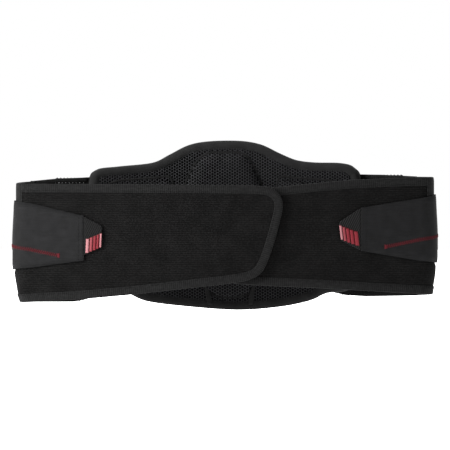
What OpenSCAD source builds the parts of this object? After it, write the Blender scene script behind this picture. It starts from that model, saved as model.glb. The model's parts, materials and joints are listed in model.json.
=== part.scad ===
// Lumbar support belt, closed into a loop as it is worn.
// The origin is the middle of the waist opening: +Z up along the spine, the front at -Y.
// Left and right are as seen from the front.

/* [Loop] */
// Distance from the middle to the bend line of each side fold
half_width = 215; // [200:1:230]
// Half depth of the loop, to the middle of the back's side wings and of the outer wing
half_depth = 50; // [48:1:62]
// Half depth at the under wing, which lies inside the outer wing
under_depth = 43; // [40:1:44]
// Radius of each side fold, to the middle of the fabric
fold_r = 17; // [15:0.5:19]
// Where the folds end and the wings begin, from the middle
fold_end = 203; // [200:1:206]

/* [Fabric] */
// Thickness of a wing, elastic panel and lining together
wing_t = 3.6; // [3:0.2:4]
// Thickness of the elastic panel alone
panel_t = 2.4; // [1.8:0.1:2.6]
// Thickness of the open mesh of the side wings
mesh_t = 3; // [2:0.2:3.4]
// Width of the edge binding
binding_w = 8.8; // [7:0.2:10]
// Width of the narrower hem tape on the edges of the side wings' mesh
side_binding_w = 4.4; // [3.5:0.1:8]
// How far the binding stands out of the faces that it covers
binding_t = 0.8; // [0.5:0.1:0.9]
// Thickness of the hook patches
hook_t = 1; // [0.6:0.1:1]

/* [Back pad] */
// Width of the soft rim round the pad
rim_w = 9.5; // [7:0.5:12]
// Depth of the pad behind its rim, shell to lining
pad_t = 11.9; // [10:0.1:14]
// Thickness of the outer shell
shell_t = 1.7; // [1.2:0.1:2]
// Thickness of the mesh lining
lining_t = 2; // [1:0.2:3]
// Thickness of the flexible plate inside
plate_t = 1.7; // [1.2:0.1:2]
// How far the raised lumbar pad stands out of the lining
lumbar_t = 8; // [5:0.5:10]
// How far the raised side pads stand out of the lining
side_pad_t = 5; // [3:0.5:7]
// Width of the flexible stays
stay_w = 8; // [6:0.5:12]
// Thickness of the stays
stay_t = 1.2; // [0.8:0.1:1.6]
// Length of the stays
stay_l = 104; // [90:1:110]

/* [Straps] */
// Thickness of the elastic straps
strap_t = 1.8; // [1.2:0.1:2]
// Width of the folded hem at the end of a strap
hem_w = 6.4; // [4:0.2:8]
// Thickness of the pull tabs
tab_t = 2; // [1.4:0.1:2.2]
// Number of grip bars on each tab
bars = 5; // [3:1:5]
// Height of the grip bars, along the tab's edge
bar_h = 15; // [8:0.5:16]
// How far the grip bars stand out of the tab
bar_t = 1.3; // [0.6:0.1:1.6]
// Gap between a strap and its tab
tab_gap = 1.4; // [1.3:0.1:2]

/* [Hidden] */

left = -1;
right = 1;
back = 1;
front = -1;
// Gap between layers of one body, and between bodies
layer_gap = 0.05;
body_gap = 0.3;
// Half the height that the curved sheets are cut from
reach = 120;
round_fn = 360;
fold_fn = 96;

fold_x = half_width - fold_r;
wing_half = wing_t / 2;
pad_face = -mesh_t / 2 - 0.1;
lining_face = pad_face - pad_t;
strap_in = wing_half + body_gap + hook_t + 0.1;
strap_out = strap_in + strap_t;
// The straps start just past the folds, with room for the hinge
strap_start = fold_end - 1;

// Radius of the arc that meets both side folds smoothly at a given half depth
function arc_r(depth) = (pow(fold_x, 2) / (depth - fold_r) + depth + fold_r) / 2;

// A smooth curve through hand-set points; open curves keep their end points
function bent(p, t) = 0.5 * (2 * p[1] + (p[2] - p[0]) * t
  + (2 * p[0] - 5 * p[1] + 4 * p[2] - p[3]) * t * t + (3 * p[1] - p[0] - 3 * p[2] + p[3]) * t * t * t);
function around(points, i) = points[(i + len(points)) % len(points)];
function held(points, i) = points[min(max(i, 0), len(points) - 1)];
function closed_curve(points, steps) = [for (i = [0:len(points) - 1], k = [0:steps - 1])
  bent([for (j = [-1:2]) around(points, i + j)], k / steps)];
function open_curve(points, steps) = concat([for (i = [0:len(points) - 2], k = [0:steps - 1])
  bent([for (j = [-1:2]) held(points, i + j)], k / steps)], [points[len(points) - 1]]);

// An outline moved inwards by d; outlines run clockwise
function unit(v) = v / norm(v);
function inward(a, b) = let (d = unit(b - a)) [d[1], -d[0]];
function inset(points, d) = [for (i = [0:len(points) - 1])
  let (n1 = inward(around(points, i - 1), points[i]), n2 = inward(points[i], around(points, i + 1)))
  points[i] + (n1 + n2) * d / (1 + n1 * n2)];
function mirrored(points) = [for (i = [len(points) - 1:-1:0]) [-points[i][0], points[i][1]]];

// Outlines seen from the front, as [x, z]
pad_outline = closed_curve([
  [-142, 54], [-134, 68], [-112, 71.5], [-76, 75.5], [-58, 84], [-38, 94], [-16, 98], [16, 98.4],
  [38, 94.5], [56, 86], [74, 78.5], [94, 75.8], [122, 75], [135, 70], [142, 56], [143, 0], [140, -46],
  [128, -58], [106, -59.5], [88, -67], [56, -73.5], [12, -77.5], [-40, -74], [-82, -69], [-104, -60],
  [-128, -58], [-140, -46], [-143, 0]
], 3);
lumbar_outline = closed_curve([
  [-20, 86], [0, 87.5], [22, 86], [33, 72], [43, 48], [46, 0], [40, -44], [30, -63], [0, -66],
  [-30, -63], [-42, -44], [-48, 0], [-45, 48], [-34, 72]
], 3);
side_pad_outline = closed_curve([
  [46, 68], [66, 63], [92, 60], [116, 58], [125, 51], [127, 0], [123, -36], [108, -46], [84, -52],
  [48, -57], [48, -30], [54, 0], [52, 40]
], 3);
flap_outline = concat([[-230, 53.4], [20, 51.6]], open_curve([
  [30, 51.5], [47, 49], [57, 41], [59.8, 30], [57, 15], [50.5, -9], [43, -30], [35, -41.5], [22, -47.6]
], 3), [[0, -51], [-98, -62], [-147, -66.6], [-230, -71]]);
under_outline = concat([[230, 60.2], [230, -62.6], [104, -55.6], [30, -52]], open_curve([
  [14, -51], [-3, -47], [-13, -36], [-16, -18], [-16, 14], [-13, 31], [-3, 42], [14, 46]
], 3), [[52, 49.4], [92, 53.6], [134, 57.4], [180, 59.2]]);
mesh_outline_left = [[-230, 54], [-175, 59], [-100, 62], [-100, -56], [-120, -60], [-147, -68], [-158, -70], [-230, -70]];
mesh_outline_right = [[100, 64], [164, 63], [230, 59.4], [230, -63], [148, -64.4], [126, -63.2], [112, -60], [100, -55]];
// Side folds: [top, bottom]
side_fold_left_z = [54, -70];
side_fold_right_z = [60, -62.8];
// Each strap: [top, bottom] at the fold, at its front start and at its end, and where it ends
strap_left_z = [[36, -36], [33, -34], [19.8, -26.5]];
strap_left_end = -146.3;
strap_right_z = [[42.4, -29], [38, -26.8], [28.2, -16.4]];
strap_right_end = 141;
// Stitching: where each run starts and ends, its width and thickness, and its bar tack
stitch_left = [[-200, -15.6], [-173, -21.3]];
stitch_right = [[200, -5.4], [167, -12.2]];
stitch_w = 3.2;
stitch_t = 0.6;
tack_h = 6;
// Each tab: its length, [top, bottom] at the strap and at its tip, and its bars' [middle at the strap, at the tip, lean]
tab_left_l = 17.6;
tab_left_z = [[18.6, -20.4], [9.2, -12.6]];
bars_left_z = [-12, -5, 0.6];
tab_right_l = 21.4;
tab_right_z = [[27.2, -15.4], [13.2, -5.4]];
bars_right_z = [-4.4, 3.2, 1.8];

// A curved sheet on one side of the loop, between two offsets from its middle arc
module sheet(depth, side, from, to) {
  r = arc_r(depth);
  translate([0, side * (depth - r), -reach]) difference() {
    cylinder(r = r + to, h = 2 * reach, $fn = round_fn);
    translate([0, 0, -1]) cylinder(r = r + from, h = 2 * reach + 2, $fn = round_fn);
  }
}

// A piece of a curved sheet, cut to the 2-D shape given as its child
module cut_sheet(depth, side, from, to) intersection() {
  sheet(depth, side, from, to);
  translate([0, side > 0 ? reach : 0, 0]) rotate([90, 0, 0]) linear_extrude(reach) children();
}

module strip(x1, x2) {
  translate([min(x1, x2), -reach]) square([abs(x2 - x1), 2 * reach]);
}

// Binding tape folded over an edge, as a channel that the fabric sits in
module binding(outline, depth, side, half, x1, x2, width = binding_w) difference() {
  cut_sheet(depth, side, -half - binding_t, half + binding_t) intersection() {
    strip(x1, x2);
    difference() {
      polygon(outline);
      polygon(inset(outline, width));
    }
  }
  cut_sheet(depth, side, -half - layer_gap, half + layer_gap)
    polygon(inset(outline, binding_t - layer_gap));
}

// Cloth inside a binding
module cloth(outline, depth, side, from, to, x1, x2) cut_sheet(depth, side, from, to) intersection() {
  strip(x1, x2);
  polygon(inset(outline, binding_t));
}

// The bend round one side, from its back end to its front end
module fold(hand, from, to, z) intersection() {
  translate([hand * fold_x, 0, z[1]]) difference() {
    cylinder(r = fold_r + to, h = z[0] - z[1], $fn = fold_fn);
    translate([0, 0, -1]) cylinder(r = fold_r + from, h = z[0] - z[1] + 2, $fn = fold_fn);
  }
  translate([hand > 0 ? fold_end + body_gap : -fold_end - body_gap - reach, -half_depth, -reach])
    cube([reach, 2 * half_depth, 2 * reach]);
}

module stay(x, z) cut_sheet(half_depth, back, stay_in - stay_t, stay_in)
  translate([x - stay_w / 2, z - stay_l / 2]) square([stay_w, stay_l]);

// Back pad, from the outside in
plate_out = pad_face - shell_t - layer_gap;
stay_in = plate_out - plate_t - 1;
foam_in = lining_face + lining_t + layer_gap;
stay_x = [-88, -56, 56, 88];
stay_z = 4;
foam_outline = inset(pad_outline, rim_w + layer_gap);

plate_w = 124;
plate_h = 116;
plate_z = 6;

module plate_shape(grow) translate([0, plate_z]) square([plate_w + 2 * grow, plate_h + 2 * grow], center = true);

module back_shell() color("#1d1d1f") cut_sheet(half_depth, back, pad_face - shell_t, pad_face)
  polygon(pad_outline);

module lumbar_plate() color("#3a3d40") cut_sheet(half_depth, back, plate_out - plate_t, plate_out)
  plate_shape(0);

module back_foam() color("#555555") difference() {
  cut_sheet(half_depth, back, foam_in, plate_out) polygon(foam_outline);
  cut_sheet(half_depth, back, plate_out - plate_t - layer_gap, plate_out + 1) plate_shape(0.1);
  for (x = stay_x) cut_sheet(half_depth, back, stay_in - stay_t - layer_gap, stay_in + layer_gap)
    translate([x - stay_w / 2 - 0.1, stay_z - stay_l / 2 - 0.1]) square([stay_w + 0.2, stay_l + 0.2]);
}

module back_lining() color("#252526") cut_sheet(half_depth, back, lining_face, lining_face + lining_t)
  polygon(foam_outline);

module back_rim() color("#2c2c2d") cut_sheet(half_depth, back, lining_face - 0.5, plate_out) difference() {
  polygon(pad_outline);
  polygon(inset(pad_outline, rim_w));
}

module lumbar_pad() color("#2a2a2b") cut_sheet(half_depth, back, lining_face - lumbar_t, lining_face - layer_gap)
  polygon(lumbar_outline);

module side_pad(hand) color("#29292a")
  cut_sheet(half_depth, back, lining_face - side_pad_t, lining_face - layer_gap)
    polygon(hand > 0 ? side_pad_outline : mirrored(side_pad_outline));

// Side wings of open mesh, sewn over the outside of the pad
mesh_inner = 102;

module side_mesh(hand) color("#262627")
  cloth(hand > 0 ? mesh_outline_right : mesh_outline_left, half_depth, back, -mesh_t / 2, mesh_t / 2,
    hand * mesh_inner, hand * fold_end);

module side_binding(hand) color("#303031")
  binding(hand > 0 ? mesh_outline_right : mesh_outline_left, half_depth, back, mesh_t / 2,
    hand * (half_width - 70), hand * fold_end, side_binding_w);

// Elastic straps, sewn to the back and led round the sides
anchor_x = 98;
anchor_w = 22;

module strap_anchor(hand, z) color("#333335") cut_sheet(half_depth, back, strap_in, strap_out)
  translate([hand > 0 ? anchor_x : -fold_end, z[1]]) square([fold_end - anchor_x, z[0] - z[1]]);

module anchor_patch(hand, z) color("#1b1b1c") difference() {
  cut_sheet(half_depth, back, mesh_t / 2 + layer_gap, strap_out + 1.2)
    translate([hand > 0 ? anchor_x - 4 : -anchor_x - anchor_w + 4, z[1] - 4]) square([anchor_w, z[0] - z[1] + 8]);
  cut_sheet(half_depth, back, strap_in - layer_gap, strap_out + layer_gap)
    translate([hand > 0 ? anchor_x - 0.1 : -fold_end, z[1] - 0.1]) square([fold_end - anchor_x + 0.1, z[0] - z[1] + 0.2]);
}

module side_fold(hand, z) color("#2a2a2b") fold(hand, -wing_half, wing_half, z);

module strap_fold(hand, z) color("#333335") fold(hand, strap_in, strap_out, z);

// Outer wing, on the left, and the under wing, on the right
module wing_panel(outline, depth, x1, x2) color("#212121")
  cloth(outline, depth, front, wing_half - panel_t, wing_half, x1, x2);

module wing_lining(outline, depth, x1, x2) color("#1c1c1c")
  cloth(outline, depth, front, -wing_half, wing_half - panel_t - layer_gap, x1, x2);

module wing_binding(outline, depth, x1, x2) color("#303030")
  binding(outline, depth, front, wing_half, x1, x2);

module flap_hook_patch() color("#0f0f10")
  cut_sheet(half_depth, front, -wing_half - layer_gap - hook_t, -wing_half - layer_gap) intersection() {
    strip(4, 60);
    polygon(inset(flap_outline, binding_w + 2));
  }

// Front ends of the straps, pressed onto the wings
module strap(hand, depth, z, end) color("#333335") cut_sheet(depth, front, strap_in, strap_out)
  polygon([[hand * strap_start, z[1][0]], [end, z[2][0]], [end, z[2][1]], [hand * strap_start, z[1][1]]]);

module strap_hem(hand, depth, z, end) color("#2d2d2f")
  cut_sheet(depth, front, strap_in - layer_gap - hook_t, strap_in - layer_gap)
    polygon([[end + hand * hem_w, z[2][0]], [end, z[2][0]], [end, z[2][1]], [end + hand * hem_w, z[2][1]]]);

module strap_hook(hand, depth, z, end) color("#0f0f10")
  cut_sheet(depth, front, strap_in - layer_gap - hook_t, strap_in - layer_gap)
    translate([min(end + hand * 8, end + hand * 44), z[2][1] + 3]) square([36, z[2][0] - z[2][1] - 6]);

// Red stitching: a narrow raised run and a bar tack across its inner end
module strap_stitch(depth, run) color("#9c2f3c")
  cut_sheet(depth, front, strap_out + layer_gap, strap_out + stitch_t) {
    polygon([for (end = [0, 1], edge = [1, -1]) run[end] + [0, (1 - 2 * end) * edge * stitch_w / 2]]);
    translate(run[1] - [1, tack_h / 2]) square([2, tack_h]);
  }

// Pull tabs with slanted grip bars; each grows from its strap's end towards the middle
module pull_tab(hand, depth, start, l, z) color("#2e2f2f") cut_sheet(depth, front, strap_in, strap_in + tab_t)
  polygon([[start, z[0][0]], [start - hand * l, z[1][0]], [start - hand * l, z[1][1]], [start, z[0][1]]]);

module tab_bars(hand, depth, start, l, z) color("#b8404c")
  cut_sheet(depth, front, strap_in + tab_t + layer_gap, strap_in + tab_t + bar_t) for (i = [0:bars - 1])
    let (pitch = l / bars, x = start - hand * (0.2 + i) * pitch, w = hand * pitch * (0.76 - 0.05 * i),
        mid = z[0] + (z[1] - z[0]) * (i + 0.5) / bars, low = mid - bar_h / 2, high = mid + bar_h / 2, lean = hand * z[2])
      polygon([[x, low], [x - w, low], [x - w - lean, high], [x - lean, high]]);

tab_left_start = strap_left_end + tab_gap;
tab_right_start = strap_right_end - tab_gap;

back_shell();
back_foam();
back_lining();
back_rim();
lumbar_pad();
side_pad(left);  // side_pad_left
side_pad(right);  // side_pad_right
lumbar_plate();
color("#8a8d90") stay(stay_x[0], stay_z);  // stay_outer_left
color("#8a8d90") stay(stay_x[1], stay_z);  // stay_inner_left
color("#8a8d90") stay(stay_x[2], stay_z);  // stay_inner_right
color("#8a8d90") stay(stay_x[3], stay_z);  // stay_outer_right
side_mesh(left);  // side_mesh_left
side_mesh(right);  // side_mesh_right
side_binding(left);  // side_binding_left
side_binding(right);  // side_binding_right
strap_anchor(left, strap_left_z[0]);  // strap_anchor_left
strap_anchor(right, strap_right_z[0]);  // strap_anchor_right
anchor_patch(left, strap_left_z[0]);  // anchor_patch_left
anchor_patch(right, strap_right_z[0]);  // anchor_patch_right
side_fold(left, side_fold_left_z);  // side_fold_left
side_fold(right, side_fold_right_z);  // side_fold_right
strap_fold(left, strap_left_z[0]);  // strap_fold_left
strap_fold(right, strap_right_z[0]);  // strap_fold_right
wing_panel(flap_outline, half_depth, -fold_end, 70);  // wing_panel_left
wing_lining(flap_outline, half_depth, -fold_end, 70);  // wing_lining_left
wing_binding(flap_outline, half_depth, -fold_end, 70);  // wing_binding_left
flap_hook_patch();
wing_panel(under_outline, under_depth, -20, fold_end);  // wing_panel_right
wing_lining(under_outline, under_depth, -20, fold_end);  // wing_lining_right
wing_binding(under_outline, under_depth, -20, fold_end);  // wing_binding_right
strap(left, half_depth, strap_left_z, strap_left_end);  // strap_left
strap_hem(left, half_depth, strap_left_z, strap_left_end);  // strap_hem_left
strap_hook(left, half_depth, strap_left_z, strap_left_end);  // strap_hook_left
strap_stitch(half_depth, stitch_left);  // strap_stitch_left
strap(right, under_depth, strap_right_z, strap_right_end);  // strap_right
strap_hem(right, under_depth, strap_right_z, strap_right_end);  // strap_hem_right
strap_hook(right, under_depth, strap_right_z, strap_right_end);  // strap_hook_right
strap_stitch(under_depth, stitch_right);  // strap_stitch_right
pull_tab(left, half_depth, tab_left_start, tab_left_l, tab_left_z);  // pull_tab_left
tab_bars(left, half_depth, tab_left_start, tab_left_l, bars_left_z);  // tab_bars_left
pull_tab(right, under_depth, tab_right_start, tab_right_l, tab_right_z);  // pull_tab_right
tab_bars(right, under_depth, tab_right_start, tab_right_l, bars_right_z);  // tab_bars_right
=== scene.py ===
import json
import math

import bpy
import numpy as np
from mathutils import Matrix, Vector, geometry, noise
from mathutils.bvhtree import BVHTree


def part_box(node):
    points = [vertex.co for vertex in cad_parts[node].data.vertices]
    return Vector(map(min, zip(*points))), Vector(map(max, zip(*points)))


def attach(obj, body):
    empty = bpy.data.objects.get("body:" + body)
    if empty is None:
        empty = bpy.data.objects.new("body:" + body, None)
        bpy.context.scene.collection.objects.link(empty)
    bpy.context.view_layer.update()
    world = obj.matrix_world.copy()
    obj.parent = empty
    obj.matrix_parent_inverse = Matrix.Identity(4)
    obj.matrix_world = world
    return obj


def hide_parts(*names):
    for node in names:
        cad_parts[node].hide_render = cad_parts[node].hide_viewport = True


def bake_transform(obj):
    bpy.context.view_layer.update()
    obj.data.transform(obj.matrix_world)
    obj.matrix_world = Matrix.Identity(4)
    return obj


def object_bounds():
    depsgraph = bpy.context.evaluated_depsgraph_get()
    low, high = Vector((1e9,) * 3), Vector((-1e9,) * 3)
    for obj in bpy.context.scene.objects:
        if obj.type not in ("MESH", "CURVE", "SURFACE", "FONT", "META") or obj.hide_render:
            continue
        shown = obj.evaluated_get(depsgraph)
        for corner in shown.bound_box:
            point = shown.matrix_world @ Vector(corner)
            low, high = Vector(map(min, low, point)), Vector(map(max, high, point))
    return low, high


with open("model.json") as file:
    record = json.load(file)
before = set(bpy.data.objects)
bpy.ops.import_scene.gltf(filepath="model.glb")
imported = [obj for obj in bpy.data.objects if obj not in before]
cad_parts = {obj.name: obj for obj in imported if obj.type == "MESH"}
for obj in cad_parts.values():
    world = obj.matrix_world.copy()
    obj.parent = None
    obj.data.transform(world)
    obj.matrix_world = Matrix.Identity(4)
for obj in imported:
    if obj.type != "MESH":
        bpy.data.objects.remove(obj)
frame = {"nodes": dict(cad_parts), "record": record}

CAD_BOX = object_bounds()

# Lengths below are millimetres unless a name says otherwise; meshes are written in metres.
MM = 0.001
LEFT, RIGHT = -1, 1
NAMES = {LEFT: "left", RIGHT: "right"}


def edge_mm(node, corner, axis):
    """One side of a CAD node's box: corner 0 is the lowest, 1 the highest; axis 0, 1, 2 is X, Y, Z."""
    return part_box(node)[corner][axis] / MM


JOINT_AT = {j["name"]: j["pos_m"] for j in frame["record"]["behaviour"]["joints"]}
HALF_WIDTH = abs(JOINT_AT["wing_left_open"][0]) / MM
STRAP_HINGE = abs(JOINT_AT["strap_left_peel"][0]) / MM
TAB_HINGE = {hand: JOINT_AT["tab_" + name + "_lift"][0] / MM for hand, name in NAMES.items()}
WING_HALF = 1.8
FOLD_R = 17.0
FOLD_X = HALF_WIDTH - FOLD_R
FOLD_END = -edge_mm("wing_panel_left", 0, 0)
HALF_DEPTH = -edge_mm("wing_panel_left", 0, 1) - WING_HALF
UNDER_DEPTH = -edge_mm("wing_panel_right", 0, 1) - WING_HALF
BINDING_W, SIDE_BINDING_W, BINDING_T = 8.8, 4.4, 0.8
STRAP_IN, STRAP_T = 3.2, 1.8
PAD_OUT = -1.6
LINING = -13.5
# The side folds: how far along the loop their shape reaches, how far the foot is drawn in, from what height and over
# what drop, and how far the wing swells below its strap, down to its hem
FOLD_REACH = 75
FOLD_TUCK, TUCK_FROM, TUCK_DROP = 4.2, -32, 36
FOLD_SWELL, HEM_FROM = 2.9, -60


def ease(t):
    """Smooth step from 0 to 1."""
    t = np.clip(t, 0, 1)
    return t * t * (3 - 2 * t)


def spread(*values):
    """Numbers or arrays as arrays of one shape."""
    return np.broadcast_arrays(*(np.asarray(v, float) for v in values))


# ---------------------------------------------------------------- the loop

def arc_r(depth):
    """Radius of the arc that meets both side folds smoothly at a half depth."""
    return (FOLD_X ** 2 / (depth - FOLD_R) + depth + FOLD_R) / 2


class Side:
    """Half of the loop as a path: s is the arc length from the middle of the front, round the side fold, to the
    middle of the back. A point is (s, z, n), with n the distance outwards from the middle of the fabric."""

    def __init__(self, hand, depth):
        self.hand, self.depth = hand, depth
        self.front, self.rear = arc_r(depth), arc_r(HALF_DEPTH)
        self.front_turn = math.asin(FOLD_X / (self.front - FOLD_R))
        self.rear_turn = math.asin(FOLD_X / (self.rear - FOLD_R))
        self.s1 = self.front * self.front_turn
        self.s2 = self.s1 + FOLD_R * (math.pi - self.front_turn - self.rear_turn)
        self.s3 = self.s2 + self.rear * self.rear_turn
        self.apex = (self.s1 + self.s2) / 2

    def at(self, s, z, n):
        """Row-frame points, in metres, as an array of three columns."""
        s, z, n = spread(s, z, n)
        a = s / self.front
        x, y = self.front * np.sin(a), self.front - self.depth - self.front * np.cos(a)
        nx, ny = np.sin(a), -np.cos(a)
        f = self.front_turn + (s - self.s1) / FOLD_R
        b = self.rear_turn - (s - self.s2) / self.rear
        for where, cx, cy, r, ux, uy in (
            (s > self.s1, FOLD_X, 0, FOLD_R, np.sin(f), -np.cos(f)),
            (s > self.s2, 0, HALF_DEPTH - self.rear, self.rear, np.sin(b), np.cos(b)),
        ):
            x, y = np.where(where, cx + r * ux, x), np.where(where, cy + r * uy, y)
            nx, ny = np.where(where, ux, nx), np.where(where, uy, ny)
        below_strap = ease((STRAP_Z[self.hand][0][1] + 3 - z) / 5.5)
        above_hem = 1 - 0.8 * ease((HEM_FROM - z) / 8)
        strap_itself = ease(n - STRAP_IN - 0.2)
        tuck = (FOLD_TUCK * ease((TUCK_FROM - z) / TUCK_DROP)
                - FOLD_SWELL * below_strap * above_hem * (1 - strap_itself))
        tuck = tuck * ease(1 - np.abs(s - self.apex) / FOLD_REACH)
        return np.stack([self.hand * (x + nx * n - tuck), y + ny * n, z], axis=-1) * MM

    def front_s(self, x, n=0.0):
        """Arc length to a place on the front by its X, at a height n over the fabric."""
        return self.front * math.asin(self.hand * x / (self.front + n))

    def back_s(self, x, n=0.0):
        """Arc length to a place on the back by its X."""
        return self.s3 - self.rear * math.asin(self.hand * x / (self.rear + n))

    def front_outline(self, points):
        return [(self.front_s(x), z) for x, z in points]


SIDES = {LEFT: Side(LEFT, HALF_DEPTH), RIGHT: Side(RIGHT, UNDER_DEPTH)}
OUTER = SIDES[LEFT]


class Back:
    """The back panel as one sheet: s is the arc length from its middle, to the right as seen from the front."""

    def __init__(self):
        self.r = arc_r(HALF_DEPTH)

    def at(self, s, z, n):
        s, z, n = spread(s, z, n)
        a = s / self.r
        return np.stack([(self.r + n) * np.sin(a), HALF_DEPTH - self.r + (self.r + n) * np.cos(a), z], axis=-1) * MM

    def outline(self, points, n):
        """An outline given by X, as arc lengths at a height n."""
        return [(self.r * math.asin(x / (self.r + n)), z) for x, z in points]


BACK = Back()


# ---------------------------------------------------------------- outlines, as (x or s, z)

def curve(points, closed=True, steps=6):
    """Catmull-Rom curve through given points."""
    p = [Vector(q) for q in points]
    count = len(p)
    pick = (lambda i: p[i % count]) if closed else (lambda i: p[min(max(i, 0), count - 1)])
    out = []
    for i in range(count if closed else count - 1):
        a, b, c, d = (pick(i + k) for k in (-1, 0, 1, 2))
        for t in (k / steps for k in range(steps)):
            out.append(0.5 * (2 * b + (c - a) * t + (2 * a - 5 * b + 4 * c - d) * t * t
                              + (3 * b - a - 3 * c + d) * t ** 3))
    if not closed:
        out.append(p[-1])
    return [tuple(q) for q in out]


def lengths(p):
    """Length gone at each point of a path."""
    return np.concatenate([[0], np.cumsum(np.linalg.norm(np.diff(p, axis=0), axis=1))])


def resample(points, step, closed=True):
    """Points evenly spaced along an outline."""
    p = np.array(points, float)
    if closed:
        p = np.vstack([p, p[:1]])
    gone = lengths(p)
    count = max(3, round(gone[-1] / step))
    t = np.linspace(0, gone[-1], count if closed else count + 1, endpoint=not closed)
    return np.stack([np.interp(t, gone, p[:, 0]), np.interp(t, gone, p[:, 1])], axis=1)


def normals(p, closed=True):
    """Unit normals pointing into a clockwise outline."""
    d = np.roll(p, -1, axis=0) - np.roll(p, 1, axis=0) if closed else np.gradient(p, axis=0)
    d /= np.linalg.norm(d, axis=1)[:, None]
    return np.stack([d[:, 1], -d[:, 0]], axis=1)


def inset(p, d):
    return p + normals(p) * d


def inside(points, ring):
    """Which points lie in a ring."""
    x, y = points[:, 0], points[:, 1]
    result = np.zeros(len(points), bool)
    for (x1, y1), (x2, y2) in zip(ring, np.roll(ring, -1, axis=0)):
        if y1 != y2:
            result ^= ((y1 > y) != (y2 > y)) & (x < (x2 - x1) * (y - y1) / (y2 - y1) + x1)
    return result


def gap_to(points, dots):
    """Distance from each point to the nearest dot, a few thousand points at a time."""
    parts = np.array_split(points, max(1, len(points) // 2000))
    return np.concatenate([np.sqrt(((part[:, None] - dots[None]) ** 2).sum(-1)).min(1) for part in parts])


PAD = curve([
    (-142, 54), (-134, 68), (-112, 71.5), (-76, 75.5), (-58, 84), (-38, 94), (-16, 98), (16, 98.4),
    (38, 94.5), (56, 86), (74, 78.5), (94, 75.8), (122, 75), (135, 70), (142, 56), (143, 0), (140, -46),
    (128, -58), (106, -61), (88, -69), (56, -75.4), (12, -78.4), (-40, -74.8), (-82, -69.3), (-104, -60),
    (-128, -58), (-140, -46), (-143, 0),
])
LUMBAR = curve([
    (-20, 86), (0, 87.5), (20, 86), (31, 72), (41, 46), (44, 0), (36, -40), (28, -60), (14, -66), (-6, -66),
    (-17, -61), (-31, -42), (-45, 0), (-44, 46), (-34, 72),
])
SIDE_PAD = curve([
    (58, 62), (74, 61), (94, 59.5), (114, 57), (124, 48), (126, 0), (122, -35), (107, -45), (84, -50.5),
    (62, -52), (53, -46), (53, -24), (57, 0), (55, 36), (53, 54),
])
FLAP_END = curve([
    (30, 51.5), (47, 49), (57, 41), (59.8, 30), (57, 15), (50.5, -9), (43, -30), (35, -41.5), (22, -47.6),
], closed=False)
UNDER_END = curve([
    (14, -51), (-3, -47), (-13, -36), (-16, -18), (-16, 14), (-13, 31), (-3, 42), (14, 46),
], closed=False)
# Where the inner edge of the under wing's binding shows through the outer wing
PRINT = [(9, 38), (1.7, 28), (-6, 19), (-8.6, 4), (-8.6, -8), (-7, -23), (-2, -37)]
FLAP = [(-FOLD_END, 53.3), (20, 51.6)] + FLAP_END + [(0, -51), (-98, -62), (-147, -66.6), (-FOLD_END, -69.8)]
UNDER_WING = ([(FOLD_END, -61.4), (104, -55.6), (30, -52)] + UNDER_END
              + [(52, 49.4), (92, 53.6), (134, 57.4), (180, 59.2), (FOLD_END, 60)])
MESH_LEFT = [(-FOLD_END, 56.2), (-175, 59), (-100, 62), (-100, -56), (-120, -60), (-147, -68), (-158, -70),
             (-FOLD_END, -70)]
MESH_RIGHT = [(100, 64), (164, 63), (FOLD_END, 61), (FOLD_END, -63.4), (148, -64.4), (126, -63.2), (112, -60),
              (100, -55)]
# Straps: [top, bottom] at the fold, at the front start and at the end; where each ends
STRAP_Z = {LEFT: [(36, -36), (33, -34), (19.8, -26.5)], RIGHT: [(42.4, -29), (38, -26.8), (28.2, -16.4)]}
STRAP_END = {LEFT: -146.3, RIGHT: 141.0}
# Pull tabs: [top, bottom] at the strap and at the tip; length
TAB_Z = {LEFT: [(18.6, -20.4), (9.2, -12.6)], RIGHT: [(27.2, -15.4), (13.2, -5.4)]}
TAB_L = {LEFT: 17.6, RIGHT: 21.4}
# Grip bars: middle height at the strap and at the tip, and how far each low end is drawn back towards the strap
BARS_Z = {LEFT: (-12, -5, 0.8), RIGHT: (-4.4, 3.2, 1.8)}
# Red stitching: its (x, z) at the fold and at its end
STITCH = {LEFT: [(-219, -11.7), (-173, -21.3)], RIGHT: [(219, -1.4), (167, -12.2)]}


# ---------------------------------------------------------------- materials

GAMMA = 2.2


def grey(level, tint=(1, 1, 1)):
    """Linear colour for a grey of 0 to 255."""
    return tuple((level / 255) ** GAMMA * t for t in tint)


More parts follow.
